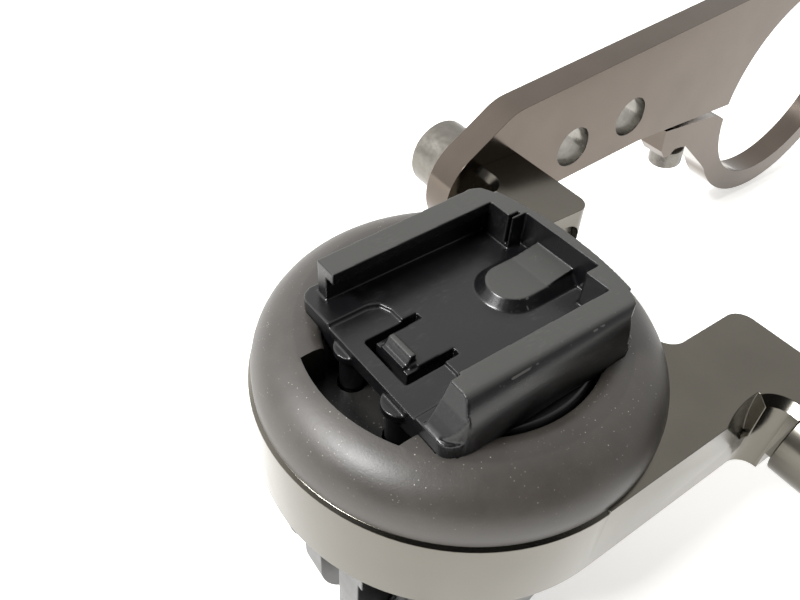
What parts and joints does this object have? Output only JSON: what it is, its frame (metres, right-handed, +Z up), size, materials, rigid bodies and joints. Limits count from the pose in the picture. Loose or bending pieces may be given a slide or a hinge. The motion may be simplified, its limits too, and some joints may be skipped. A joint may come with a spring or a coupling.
{
  "type": "bike computer mount",
  "caption": "Out-front bike computer mount: plate on two handlebar clamp arms, round collar with slide-in cradle, accessory fork below.",
  "frame": {"origin": "centre of the plate's ring on the plate's top face", "axes": "+Y rearwards to the handlebar, +Z up out of the plate, +X towards the near arm"},
  "size_m": [0.0678, 0.1323, 0.0397],
  "materials": {
    "anodised_plate": "satin black anodised",
    "anodised_arm": "fine blasted, black anodised",
    "collar_rubber": "matte, fine grain, dusty",
    "moulded_black": "satin moulded",
    "dark_screw": "black oxide",
    "black_bolt": "black oxide",
    "silver_bolt": "plain stainless"
  },
  "bodies": {
    "far_arm_set": {"far_arm": "anodised_arm", "far_strap": "anodised_arm", "far_clamp_bolt_front": "silver_bolt", "far_clamp_bolt_rear": "silver_bolt"},
    "plate_set": {"body_plate": "anodised_plate", "dome_collar": "collar_rubber", "adapter_disc": "moulded_black", "computer_cradle": "moulded_black", "cradle_screw_left": "dark_screw", "cradle_screw_right": "dark_screw", "cradle_screw_rear_left": "dark_screw", "cradle_screw_rear_right": "dark_screw", "pivot_bolt_far": "black_bolt", "pivot_washer_far": "black_bolt", "pivot_bolt_near": "black_bolt", "pivot_washer_near": "black_bolt", "near_spacer": "anodised_plate", "accessory_fork": "moulded_black", "fork_screw_left": "dark_screw", "fork_screw_right": "dark_screw", "lock_nut": "silver_bolt"},
    "near_arm_set": {"near_arm": "anodised_arm", "near_strap": "anodised_arm", "near_clamp_bolt_front": "silver_bolt", "near_clamp_bolt_rear": "silver_bolt"},
    "thumb_screw": {"thumb_bolt": "silver_bolt", "thumb_knob": "moulded_black"}
  },
  "joints": [
    {"name": "body_tilt", "type": "hinge", "parent": "far_arm_set", "child": "plate_set", "pos_m": [0, 0.0225, -0.0042], "axis": [1, 0, 0], "range_deg": [-25, 25]},
    {"name": "near_arm_tilt", "type": "hinge", "parent": "plate_set", "child": "near_arm_set", "pos_m": [0, 0.0225, -0.0042], "axis": [1, 0, 0], "range_deg": [-25, 25]},
    {"name": "thumb_spin", "type": "hinge", "parent": "plate_set", "child": "thumb_screw", "pos_m": [0, -0.0075, -0.0194], "axis": [1, 0, 0], "continuous": true}
  ],
  "couplings": [
    {"joint": "near_arm_tilt", "follows": "body_tilt", "ratio": -1}
  ]
}
